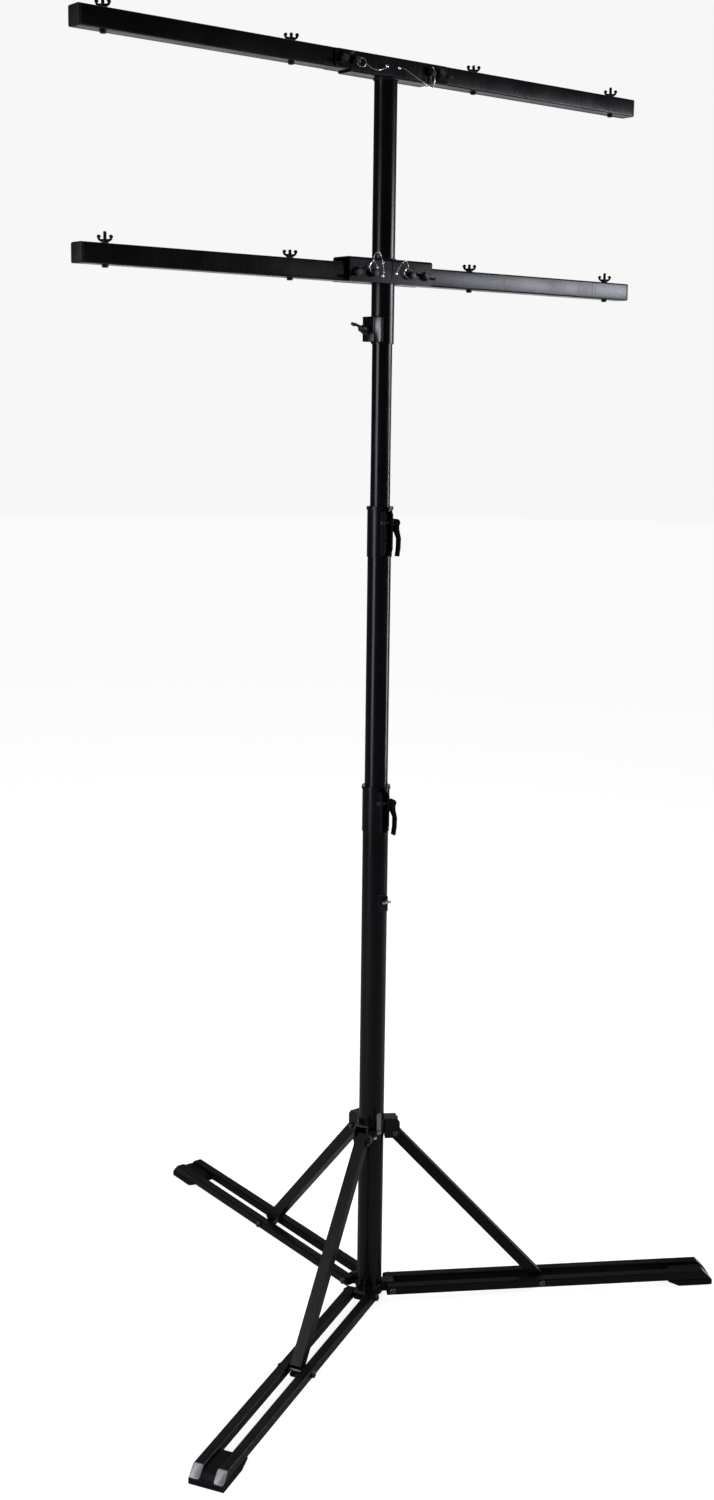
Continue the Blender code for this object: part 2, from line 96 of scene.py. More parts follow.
BOLT_X = {"lower": 0.082, "upper": 0.116}
PIN_X = {"lower": 0.045, "upper": 0.090}
FIXTURE_X = (0.218, 0.600)
PLATE = {"lower": 0.0250, "upper": 0.0206}
GAP = 0.0003


def rad(a):
    return math.radians(a)


def RZ(a):
    return Matrix.Rotation(rad(a), 4, "Z")


def RX(a):
    return Matrix.Rotation(rad(a), 4, "X")


def RY(a):
    return Matrix.Rotation(rad(a), 4, "Y")


def T(x, y, z):
    return Matrix.Translation((x, y, z))


# ---------------------------------------------------------------------------
# materials
# ---------------------------------------------------------------------------
class Shader:
    """Small helper that wires a node material."""

    def __init__(self, name):
        self.m = bpy.data.materials.new(name)
        self.m.use_nodes = True
        self.t = self.m.node_tree
        self.b = self.t.nodes["Principled BSDF"]
        self.co = self.t.nodes.new("ShaderNodeTexCoord").outputs["Object"]

    def link(self, a, b):
        self.t.links.new(a, b)

    def mapped(self, scale):
        n = self.t.nodes.new("ShaderNodeMapping")
        n.inputs["Scale"].default_value = scale
        self.link(self.co, n.inputs["Vector"])
        return n.outputs["Vector"]

    def noise(self, scale, detail=2.0, rough=0.5, at=None, distort=0.0):
        n = self.t.nodes.new("ShaderNodeTexNoise")
        n.inputs["Scale"].default_value = scale
        n.inputs["Detail"].default_value = detail
        n.inputs["Roughness"].default_value = rough
        n.inputs["Distortion"].default_value = distort
        self.link(at if at is not None else self.co, n.inputs["Vector"])
        return n.outputs["Fac"]

    def cells(self, scale, at=None, feature="F1"):
        n = self.t.nodes.new("ShaderNodeTexVoronoi")
        n.feature = feature
        n.inputs["Scale"].default_value = scale
        self.link(at if at is not None else self.co, n.inputs["Vector"])
        return n.outputs["Distance"]

    def ramp(self, fac, a, b, lo=0.0, hi=1.0):
        n = self.t.nodes.new("ShaderNodeMapRange")
        n.inputs["From Min"].default_value = a
        n.inputs["From Max"].default_value = b
        n.inputs["To Min"].default_value = lo
        n.inputs["To Max"].default_value = hi
        self.link(fac, n.inputs["Value"])
        return n.outputs["Result"]

    def math(self, op, a, b=0.5):
        n = self.t.nodes.new("ShaderNodeMath")
        n.operation = op
        for s, v in ((n.inputs[0], a), (n.inputs[1], b)):
            if isinstance(v, (int, float)):
                s.default_value = v
            else:
                self.link(v, s)
        return n.outputs[0]

    def mix(self, fac, a, b):
        n = self.t.nodes.new("ShaderNodeMix")
        n.data_type = "RGBA"
        for s, v in ((n.inputs[0], fac), (n.inputs[6], a), (n.inputs[7], b)):
            if isinstance(v, (tuple, list)):
                s.default_value = (*v, 1.0) if len(v) == 3 else v
            elif isinstance(v, (int, float)):
                s.default_value = v
            else:
                self.link(v, s)
        return n.outputs[2]

    def edges(self, radius, lo=0.004, hi=0.10):
        """Mask of worn edges: where the rounded normal leaves the surface's."""
        bev = self.t.nodes.new("ShaderNodeBevel")
        bev.samples = 4
        bev.inputs["Radius"].default_value = radius
        geo = self.t.nodes.new("ShaderNodeNewGeometry")
        dot = self.t.nodes.new("ShaderNodeVectorMath")
        dot.operation = "DOT_PRODUCT"
        self.link(bev.outputs["Normal"], dot.inputs[0])
        self.link(geo.outputs["Normal"], dot.inputs[1])
        gap = self.math("SUBTRACT", 1.0, dot.outputs["Value"])
        return self.ramp(gap, lo, hi)

    def up_facing(self):
        geo = self.t.nodes.new("ShaderNodeTexCoord")
        sep = self.t.nodes.new("ShaderNodeSeparateXYZ")
        self.link(geo.outputs["Normal"], sep.inputs[0])
        return self.ramp(sep.outputs["Z"], 0.2, 1.0)

    def bump(self, height, strength, distance, under=None):
        n = self.t.nodes.new("ShaderNodeBump")
        n.inputs["Strength"].default_value = strength
        n.inputs["Distance"].default_value = distance
        self.link(height, n.inputs["Height"])
        if under is not None:
            self.link(under, n.inputs["Normal"])
        return n.outputs["Normal"]

    def out(self, colour=None, rough=None, normal=None, metal=None):
        for key, v in (("Base Color", colour), ("Roughness", rough), ("Normal", normal), ("Metallic", metal)):
            if v is None:
                continue
            if isinstance(v, tuple):
                self.b.inputs[key].default_value = (*v, 1.0)
            elif isinstance(v, (int, float)):
                self.b.inputs[key].default_value = v
            else:
                self.link(v, self.b.inputs[key])
        return self.m


def powder_coat(name, base, worn, rough, spec=0.30, wear=0.5, dust=0.0, streak=0.0, peel=0.22):
    """Satin powder coat: orange peel, faint blotches, rubbed edges, hairline
    scratches along Z and a little settled dust."""
    s = Shader(name)
    blotch = s.noise(11.0, 3.0, 0.6)
    fine = s.noise(160.0, 2.0, 0.5)
    tone = s.math("ADD", s.math("MULTIPLY", blotch, 0.65), s.math("MULTIPLY", fine, 0.35))
    dark = tuple(c * 0.72 for c in base)
    light = tuple(c * 1.35 for c in base)
    colour = s.mix(s.ramp(tone, 0.30, 0.70), dark, light)
    chips = s.ramp(s.noise(420.0, 3.0, 0.65), 0.42, 0.66)
    edge = s.math("MULTIPLY", s.edges(0.0009), s.math("MULTIPLY", chips, wear))
    colour = s.mix(edge, colour, worn)
    if dust:
        grime = s.math("MULTIPLY", s.up_facing(), s.ramp(s.noise(55.0, 4.0, 0.7), 0.35, 0.75, 0.0, dust))
        colour = s.mix(grime, colour, (0.16, 0.155, 0.145))
    scuff = s.ramp(s.noise(1.0, 3.0, 0.6, at=s.mapped((520.0, 520.0, 9.0))), 0.56, 0.74)
    if streak:
        colour = s.mix(s.math("MULTIPLY", scuff, streak), colour, worn)
    r = s.math("ADD", s.ramp(blotch, 0.25, 0.75, rough - 0.05, rough + 0.07),
               s.math("MULTIPLY", scuff, 0.10))
    peel_h = s.math("ADD", s.math("MULTIPLY", s.noise(760.0, 2.0, 0.5), 0.7),
                    s.math("MULTIPLY", s.noise(2600.0, 1.0, 0.5), 0.3))
    n = s.bump(peel_h, peel, 0.00022)
    s.b.inputs["Specular IOR Level"].default_value = spec
    return s.out(colour, r, n, 0.0)


def plated(name, base, tint, rough, brushed=(900.0, 900.0, 60.0), metal=1.0, dirt=0.35):
    """Zinc or chrome plate: brushed micro lines, passivation tint, dirt in random patches."""
    s = Shader(name)
    cloud = s.noise(240.0, 3.0, 0.6)
    lines = s.noise(1.0, 3.0, 0.6, at=s.mapped(brushed))
    colour = s.mix(s.ramp(cloud, 0.35, 0.7), base, tint)
    soil = s.math("MULTIPLY", s.ramp(s.noise(520.0, 4.0, 0.7), 0.52, 0.72), dirt)
    colour = s.mix(soil, colour, tuple(c * 0.35 for c in base))
    r = s.math("ADD", s.ramp(lines, 0.3, 0.7, rough - 0.06, rough + 0.12), s.math("MULTIPLY", soil, 0.3))
    n = s.bump(lines, 0.12, 0.00006)
    return s.out(colour, r, n, metal)


def rubber(name, base):
    s = Shader(name)
    cloud = s.noise(40.0, 4.0, 0.65)
    colour = s.mix(s.ramp(cloud, 0.3, 0.7), tuple(c * 0.75 for c in base), tuple(c * 1.6 for c in base))
    scuffs = s.math("MULTIPLY", s.edges(0.0018), s.ramp(s.noise(300.0, 3.0, 0.7), 0.45, 0.7, 0.0, 0.35))
    colour = s.mix(scuffs, colour, (0.10, 0.098, 0.094))
    grime = s.math("MULTIPLY", s.up_facing(), s.ramp(s.noise(90.0, 4.0, 0.7), 0.40, 0.75, 0.0, 0.06))
    colour = s.mix(grime, colour, (0.14, 0.135, 0.125))
    grain = s.math("ADD", s.cells(1500.0), s.math("MULTIPLY", s.noise(700.0), 0.6))
    n = s.bump(grain, 0.25, 0.00012)
    s.b.inputs["Specular IOR Level"].default_value = 0.14
    return s.out(colour, s.ramp(cloud, 0.3, 0.7, 0.50, 0.72), n, 0.0)


def weld_metal(name, base):
    s = Shader(name)
    tone = s.noise(380.0, 3.0, 0.6)
    colour = s.mix(s.ramp(tone, 0.3, 0.7), tuple(c * 0.7 for c in base), tuple(c * 1.5 for c in base))
    n = s.bump(s.noise(900.0, 3.0, 0.6), 0.35, 0.00018)
    s.b.inputs["Specular IOR Level"].default_value = 0.30
    return s.out(colour, s.ramp(tone, 0.3, 0.7, 0.34, 0.52), n, 0.0)


M_MAST = powder_coat("mast_coat_paint", (0.0030, 0.0031, 0.0038), (0.05, 0.05, 0.054), 0.21,
                     spec=0.20, wear=0.40, streak=0.05, peel=0.14)
M_SLIDE = powder_coat("inner_mast_coat_paint", (0.0030, 0.0031, 0.0038), (0.05, 0.05, 0.054), 0.19,
                      spec=0.20, wear=0.45, streak=0.12, peel=0.12)
M_FRAME = powder_coat("frame_coat_paint", (0.0034, 0.0034, 0.0038), (0.06, 0.06, 0.062), 0.23,
                      spec=0.20, wear=0.6, peel=0.24)
M_LEG = powder_coat("leg_coat_paint", (0.0032, 0.0032, 0.0033), (0.07, 0.07, 0.07), 0.33,
                    spec=0.14, wear=0.7, dust=0.03, peel=0.22)
# the pale grey base of the leg end plates is a painted highlight standing in for their bright reflection
M_TIP_PAINTED_HIGHLIGHT = powder_coat("leg_tip_painted_highlight", (0.24, 0.24, 0.243), (0.40, 0.40, 0.40), 0.24,
                    spec=0.60, wear=0.9, dust=0.10, peel=0.10)
M_CAP = powder_coat("end_cap_plastic", (0.0080, 0.0080, 0.0084), (0.05, 0.05, 0.05), 0.46,
                    spec=0.25, wear=0.3, peel=0.30)
M_SHOE = rubber("shoe_rubber_mould", (0.0026, 0.0026, 0.0026))
M_ZINC = plated("zinc_plate", (0.10, 0.10, 0.098), (0.065, 0.065, 0.062), 0.34)
M_CHROME = plated("bright_steel", (0.74, 0.74, 0.74), (0.66, 0.66, 0.67), 0.18, dirt=0.2)
M_BLACKZ = plated("black_zinc_plate", (0.008, 0.008, 0.009), (0.020, 0.020, 0.022), 0.38, metal=0.5, dirt=0.5)
M_TAB = plated("pull_tab_zinc", (0.34, 0.34, 0.33), (0.24, 0.24, 0.235), 0.30)
M_WELD = weld_metal("weld_bead_paint", (0.0070, 0.0070, 0.0076))


# ---------------------------------------------------------------------------
# geometry
# ---------------------------------------------------------------------------
class Geo:
    """Collects closed shapes of one piece."""

    def __init__(self):
        self.v, self.f, self.mi = [], [], []

    def add(self, shape, m=None, mat=0):
        verts, faces = shape
        o = len(self.v)
        self.v += [tuple(m @ Vector(p)) if m is not None else tuple(p) for p in verts]
        self.f += [tuple(i + o for i in q) for q in faces]
        self.mi += [mat] * len(faces)
        return self


def loft(rings, cap0=True, cap1=True, loop=False):
    n, m = len(rings[0]), len(rings)
    v, f = [p for r in rings for p in r], []
    for i in range(m if loop else m - 1):
        a, b = i * n, ((i + 1) % m) * n
        for j in range(n):
            k = (j + 1) % n
            f.append((a + j, a + k, b + k, b + j))
    if not loop:
        if cap0:
            f.append(tuple(range(n))[::-1])
        if cap1:
            f.append(tuple((m - 1) * n + j for j in range(n)))
    return v, f


def turned(rows, n=48, loop=False):
    """Solid from rows of (z, radius or a function of the angle)."""
    rings = []
    for z, r in rows:
        ring = []
        for j in range(n):
            a = 2 * math.pi * j / n
            q = r(a) if callable(r) else r
            ring.append((q * math.cos(a), q * math.sin(a), z))
        rings.append(ring)
    return loft(rings, loop=loop)


def pipe(ro, ri, z0, z1, n=96, e=0.0004):
    return turned([(z0, ri + e), (z0, ro - e), (z0 + e, ro), (z1 - e, ro), (z1, ro - e),
                   (z1, ri + e), (z1 - e, ri), (z0 + e, ri)], n, loop=True)


def rod(r, z0, z1, n=32, e=0.0004):
    return turned([(z0, r - e), (z0 + e, r), (z1 - e, r), (z1, r - e)], n)


def disc_ring(ro, ri, z0, z1, n=40, e=0.0002):
    return pipe(ro, ri, z0, z1, n, e)


def hexagonal(af, z0, z1, hole=0.0):
    """Hexagon nut or head with chamfered corners, across flats af."""
    h = af / 2

    def flat(a):
        return h / math.cos((a + math.pi / 6) % (math.pi / 3) - math.pi / 6)

    def at(t):
        return lambda a: min(flat(a), h * 0.955 + t * 1.73)

    ts = (0.0, 0.00035, 0.0007, 0.0010, 0.0014)
    rows = [(z0 + t, at(t)) for t in ts] + [(z1 - t, at(t)) for t in reversed(ts)]
    return turned(rows, 48)


def threaded(r, z0, z1, pitch, n=20, per=6, tip=0.0008):
    rows, depth = [], pitch * 0.52
    count = max(4, int(round((z1 - z0) / pitch * per)))
    for i in range(count + 1):
        z = z0 + (z1 - z0) * i / count
        cone = min(1.0, (z1 - z) / tip) if tip else 1.0

        def radius(a, z=z, cone=cone):
            t = (z / pitch - a / (2 * math.pi)) % 1.0
            cut = abs(t * 2 - 1)
            return (r - depth * cut) * (0.80 + 0.20 * cone)

        rows.append((z, radius))
    return turned(rows, n)


def rr(w, h, r, k=4, sub=(1, 1)):
    """Rounded rectangle, counter-clockwise; sub splits its upright and level
    sides."""
    a, b = w / 2, h / 2
    corners = [(a - r, -b + r, -90), (a - r, b - r, 0), (-a + r, b - r, 90), (-a + r, -b + r, 180)]
    pts = []
    for c, (cx, cy, s) in enumerate(corners):
        for i in range(k + 1):
            t = rad(s + 90 * i / k)
            pts.append((cx + r * math.cos(t), cy + r * math.sin(t)))
        nx, ny, ns = corners[(c + 1) % 4]
        q = (nx + r * math.cos(rad(ns)), ny + r * math.sin(rad(ns)))
        p = pts[-1]
        for i in range(1, sub[c % 2]):
            t = i / sub[c % 2]
            pts.append((p[0] + (q[0] - p[0]) * t, p[1] + (q[1] - p[1]) * t))
    return pts


def block(x0, x1, y0, y1, z0, z1, r=0.0008, k=3):
    """Box along X with rounded long edges and eased ends."""
    cy, cz, w, h = (y0 + y1) / 2, (z0 + z1) / 2, y1 - y0, z1 - z0
    rings = []
    steps = [(x0, -r), (x0 + r * 0.3, -r * 0.3), (x0 + r, 0.0), (x1 - r, 0.0), (x1 - r * 0.3, -r * 0.3), (x1, -r)]
    for x, d in steps:
        rings.append([(x, cy + u, cz + v) for u, v in rr(w + 2 * d, h + 2 * d, max(r + d, r * 0.3), k)])
    return loft(rings)


def slab(points, thick, plane="xz", at=0.0):
    """Flat outline with a thickness."""
    n = len(points)
    rings = []
    for s in (-thick / 2, thick / 2):
        if plane == "xz":
            rings.append([(p[0], at + s, p[1]) for p in points])
        elif plane == "yz":
            rings.append([(at + s, p[0], p[1]) for p in points])
        else:
            rings.append([(p[0], p[1], at + s) for p in points])
    return loft(rings)


def spline(points, per=8):
    """Smooth points through a short list of them."""
    p = [Vector(q) for q in points]
    p = [p[0] * 2 - p[1]] + p + [p[-1] * 2 - p[-2]]
    out = []
    for i in range(1, len(p) - 2):
        a, b, c, d = p[i - 1], p[i], p[i + 1], p[i + 2]
        for j in range(per):
            t = j / per
            out.append(0.5 * ((2 * b) + (c - a) * t + (2 * a - 5 * b + 4 * c - d) * t * t
                              + (3 * b - a - 3 * c + d) * t ** 3))
    out.append(p[-2])
    return out


def sweep(points, r, n=12, closed=False, radius=None):
    """Round bar along points; radius(s) may vary along its length."""
    p = [Vector(q) for q in points]
    m = len(p)
    tang = []
    for i in range(m):
        a = p[(i - 1) % m] if closed or i else p[i]
        b = p[(i + 1) % m] if closed or i < m - 1 else p[i]
        tang.append((b - a).normalized())
    up = Vector((0, 0, 1)) if abs(tang[0].z) < 0.9 else Vector((1, 0, 0))
    u = tang[0].cross(up).normalized()
    rings, run = [], 0.0
    for i in range(m):
        if i:
            run += (p[i] - p[i - 1]).length
            u = (u - tang[i] * u.dot(tang[i])).normalized()
        w = tang[i].cross(u)
        q = radius(run) if radius else r
        rings.append([tuple(p[i] + u * q * math.cos(2 * math.pi * j / n) + w * q * math.sin(2 * math.pi * j / n))
                      for j in range(n)])
    return loft(rings, loop=closed)


def ring_path(r, z, n=120, a0=0.0, a1=360.0):
    full = abs(a1 - a0 - 360.0) < 1e-6
    c = n if full else n + 1
    return [(r * math.cos(rad(a0 + (a1 - a0) * i / n)), r * math.sin(rad(a0 + (a1 - a0) * i / n)), z) for i in range(c)]


def bead(points, r=0.0013, pitch=0.0026, closed=False):
    """Weld bead with the overlapping scales of a hand weld."""
    def radius(s):
        t = (s / pitch) % 1.0
        return r * (0.86 + 0.20 * math.sqrt(max(0.0, 1 - (t * 2 - 1) ** 2)))
    return sweep(points, r, 10, closed, radius)


def dense(points, step=0.0006, closed=False):
    pts = [Vector(p) for p in points]
    if closed:
        pts.append(pts[0])
    out = []
    for a, b in zip(pts, pts[1:]):
        c = max(1, int((b - a).length / step))
        out += [a.lerp(b, i / c) for i in range(c)]
    if not closed:
        out.append(pts[-1])
    return out


def wing_outline(span, high, root, foot=0.0, ear=0.25):
    """One ear of a wing nut, from the hub out to its round tip (X out, Z up)."""
    s = span / 2
    er = high * ear
    cx, cz = s - er, high - er
    pts = [(root * 0.35, foot), (root, foot + high * 0.02), (root * 1.25, foot + high * 0.10)]
    pts += [(root + (s - root) * t, high * (0.10 + 0.42 * t ** 1.6)) for t in (0.35, 0.6, 0.8)]
    a0, a1 = -50, 170
    pts += [(cx + er * math.cos(rad(a0 + (a1 - a0) * i / 10)), cz + er * math.sin(rad(a0 + (a1 - a0) * i / 10)))
            for i in range(11)]
    pts += [(root + (s - root) * t, high * (0.46 + 0.30 * t ** 1.4)) for t in (0.42, 0.24, 0.1)]
    pts += [(root * 0.80, high * 0.47), (root * 0.35, high * 0.47)]
    return pts


def wing_nut(geo, m, span, high, root, hub_h, hub_r, thick, mat=0):
    """Wing nut standing on Z = 0, hub coned, two rounded ears."""
    geo.add(turned([(0.0, hub_r - 0.0004), (0.0004, hub_r), (hub_h * 0.35, hub_r * 0.97), (hub_h * 0.8, hub_r * 0.82),
                    (hub_h - 0.0004, hub_r * 0.78), (hub_h, hub_r * 0.72)], 40), m, mat)
    ear = wing_outline(span, high, root)
    for s in (0, 180):
        geo.add(slab(ear, thick), m @ RZ(s), mat)


def make(name, geo, mats, body, m=None, replaces=(), bevel=0.0, segments=2, angle=38.0, smooth=36.0):
    """Turns a Geo into a piece that rides on a CAD body."""
    me = bpy.data.meshes.new(name)
    me.from_pydata(geo.v, [], geo.f)
    me.update()
    bm = bmesh.new()
    bm.from_mesh(me)
    bm.faces.ensure_lookup_table()
    for fc, i in zip(bm.faces, geo.mi):
        fc.material_index = i
    bmesh.ops.recalc_face_normals(bm, faces=bm.faces)
    bm.transform(MAST @ m if m is not None else MAST)
    bm.to_mesh(me)
    bm.free()
    for mat in mats if isinstance(mats, (list, tuple)) else [mats]:
        me.materials.append(mat)
    me.shade_smooth()
    me.set_sharp_from_angle(angle=rad(smooth))
    ob = bpy.data.objects.new(name, me)
    bpy.context.scene.collection.objects.link(ob)
    if bevel:
        b = ob.modifiers.new("Bevel", "BEVEL")
        b.width, b.segments, b.limit_method, b.angle_limit = bevel, segments, "ANGLE", rad(angle)
        b.harden_normals = True
    if body:
        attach(ob, body)
    if replaces:
        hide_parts(*([replaces] if isinstance(replaces, str) else replaces))
    return ob


def refine(node, mat, bevel=0.0005, segments=2, name=None, smooth=32.0):
    """The CAD node's own shape with its triangles merged into clean faces and
    its sharp edges eased; stands for the node."""
    src = frame["nodes"][node]
    bm = bmesh.new()
    bm.from_mesh(src.data)
    bmesh.ops.remove_doubles(bm, verts=bm.verts, dist=0.00001)
    bmesh.ops.dissolve_limit(bm, angle_limit=rad(0.6), verts=bm.verts, edges=bm.edges)
    bmesh.ops.recalc_face_normals(bm, faces=bm.faces)
    me = bpy.data.meshes.new(name or node + "_shell")
    bm.to_mesh(me)
    bm.free()
    me.materials.clear()
    me.materials.append(mat)
    for p in me.polygons:
        p.material_index = 0
    me.shade_smooth()
    me.set_sharp_from_angle(angle=rad(smooth))
    ob = bpy.data.objects.new(name or node + "_shell", me)
    bpy.context.scene.collection.objects.link(ob)
    if bevel:
        b = ob.modifiers.new("Bevel", "BEVEL")
        b.width, b.segments, b.limit_method, b.angle_limit = bevel, segments, "ANGLE", rad(smooth)
        b.harden_normals = True
        b.use_clamp_overlap = True
    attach(ob, src["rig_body"])
    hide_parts(node)
    return ob


# ---------------------------------------------------------------------------
# mast tubes
# ---------------------------------------------------------------------------
def lock_housing(az, z, x0, x1, hy, hz, hole):
    """Welded block round a spring pin, with its eased edges."""
    g = Geo()
    g.add(block(-hz, hz, -hy, hy, x0, x1, 0.0012))
    return g


g = Geo()
g.add(pipe(*LOWER))
hz = RZ(-92.0) @ T(0, 0, LOCK_Z)
g.add(block(0.0236, 0.0336, -0.0080, 0.0080, -0.0150, 0.0150, 0.0011), hz)
# raised boss round the pin
g.add(turned([(0.0, 0.0056), (0.0017, 0.0056), (0.0021, 0.0050), (0.0021, 0.0037), (0.0005, 0.0036)], 32),
      RZ(-92.0) @ T(0.0330, 0, LOCK_Z + 0.005) @ RY(90))
loop = [(0.0246, -0.0086, -0.0156), (0.0246, 0.0086, -0.0156), (0.0246, 0.0086, 0.0156), (0.0246, -0.0086, 0.0156)]
g.add(bead([(hz @ Vector(p)) for p in dense(loop, closed=True)], 0.0012, 0.0024, True), None, 1)
make("lower_mast_tube", g, [M_MAST, M_WELD], "base", replaces="lower_tube")

make("middle_mast_tube", Geo().add(pipe(*MIDDLE)), M_SLIDE, "middle", replaces="middle_tube")

g = Geo()
g.add(pipe(*UPPER))
g.add(pipe(0.0202, 0.0188, UPPER[2] + 0.002, UPPER[2] + 0.030))
make("upper_mast_tube", g, M_SLIDE, "upper", replaces="upper_tube")

g = Geo()
g.add(pipe(*HEAD))
hb = RZ(HEAD_AZ)
g.add(block(0.0180, 0.0415, -0.0140, 0.0140, 1.9110, 1.9570, 0.0012), hb)
# raised nut plate on the block's outer face
g.add(disc_ring(0.0098, 0.0044, 0.0, 0.0020), hb @ T(0.0405, 0, HEAD_SCREW_Z) @ RY(90))
for s in (-1, 1):
    g.add(bead(dense([(0.0168, s * 0.0138, 1.9118), (0.0168, s * 0.0138, 1.9562)]), 0.0015, 0.0026), hb, 1)
g.add(bead(ring_path(0.0222, 0.0, 180, -39, 39), 0.0012, 0.0026), hb @ T(0, 0, 1.9578), 1)
make("mast_head", g, [M_MAST, M_WELD], "head", replaces="mast_head_tube")

# stop rivet
g = Geo()
g.add(turned([(0.0232, 0.0024), (0.0236, 0.0029), (0.0254, 0.0029), (0.0254, 0.0046), (0.0268, 0.0045),
              (0.0282, 0.0037), (0.0290, 0.0022), (0.0292, 0.0006)], 32), RZ(-113.0) @ T(0, 0, STOP_Z) @ RY(90))
make("stop_rivet", g, M_CHROME, "base", replaces="collar_stop_rivet")

# height lock: pin with a T grip
g = Geo()
pz = RZ(-92.0) @ T(0, 0, LOCK_Z + 0.005)
g.add(rod(0.0030, 0.0229, 0.0388, 28), pz @ RY(90))
g.add(turned([(-0.0095, 0.0019), (-0.0088, 0.0025), (-0.0030, 0.0026), (-0.0024, 0.0032), (0.0024, 0.0032),
              (0.0030, 0.0026), (0.0088, 0.0025), (0.0095, 0.0019)], 28), pz @ T(0.0393, 0, 0) @ RX(90))
make("height_lock_grip", g, M_CHROME, "height_pin", replaces="height_lock_pin")

# collar lock: pin, pull tab and button
g = Geo()
cz = RZ(COLLAR_PIN_AZ) @ T(0, 0, COLLAR_PIN_Z)
g.add(rod(0.0030, 0.0256, 0.0470, 28), cz @ RY(90))
tab = ([(-0.0045 + 0.0015, -0.0060), (0.0045 - 0.0015, -0.0060), (0.0045, -0.0045)]
       + [(0.0045 * math.cos(rad(a)), 0.0345 + 0.0045 * math.sin(rad(a))) for a in range(0, 181, 15)]
       + [(-0.0045, -0.0045)])
g.add(slab(tab, 0.0024, "yz", 0.0463), cz)
g.add(turned([(0.0472, 0.0050), (0.0478, 0.0051), (0.0492, 0.0046), (0.0500, 0.0030), (0.0502, 0.0008)], 32), cz @ RY(90))
make("collar_lock_tab", g, M_TAB, "collar_pin", replaces="collar_lock_pin", bevel=0.0004, angle=50)

# ---------------------------------------------------------------------------
# hub and leg collar
# ---------------------------------------------------------------------------
refine("base_hub", M_FRAME, 0.0006)
g = Geo().add(bead(ring_path(0.0260, 0.0270, 260), 0.0011, 0.0025, True))
for az in LEG_AZ.values():
    for s in (-1, 1):
        g.add(bead(dense([(0.0272, s * 0.0118, 0.0140), (0.0272, s * 0.0118, 0.0262)]), 0.0010, 0.0022), RZ(az))
make("hub_weld", g, M_WELD, "base")
refine("leg_collar", M_FRAME, 0.0007)

# ---------------------------------------------------------------------------
# bolts through the legs, braces and collar
# ---------------------------------------------------------------------------
def through_bolt(name, half, m, body, node, head=0.0066, mat=M_ZINC, shank=0.0040):
    """Bolt along Y: domed head at -Y, washer, chamfered nut and thread at +Y."""
    g = Geo()
    y = m @ RX(-90)   # local Z now runs along the leg frame's +Y
    g.add(rod(shank, -half - 0.0010, half + 0.0004, 32), y)
    g.add(turned([(-half - 0.0045, 0.0010), (-half - 0.0043, head * 0.55), (-half - 0.0036, head * 0.82),
                  (-half - 0.0024, head * 0.96), (-half - 0.0014, head), (-half - GAP - 0.0003, head),
                  (-half - GAP, head * 0.97)], 40), y)
    g.add(disc_ring(head * 1.08, shank, half + GAP, half + 0.0013), y)
    g.add(hexagonal(head * 2 * 0.91, half + 0.0013, half + 0.0048), y)
    g.add(threaded(shank, half + 0.0002, half + 0.0060, 0.00125, 24), y)
    return make(name, g, mat, body, replaces=node)


def leg_frame(az):
    return RZ(az) @ T(HINGE_R, 0, HINGE_Z)


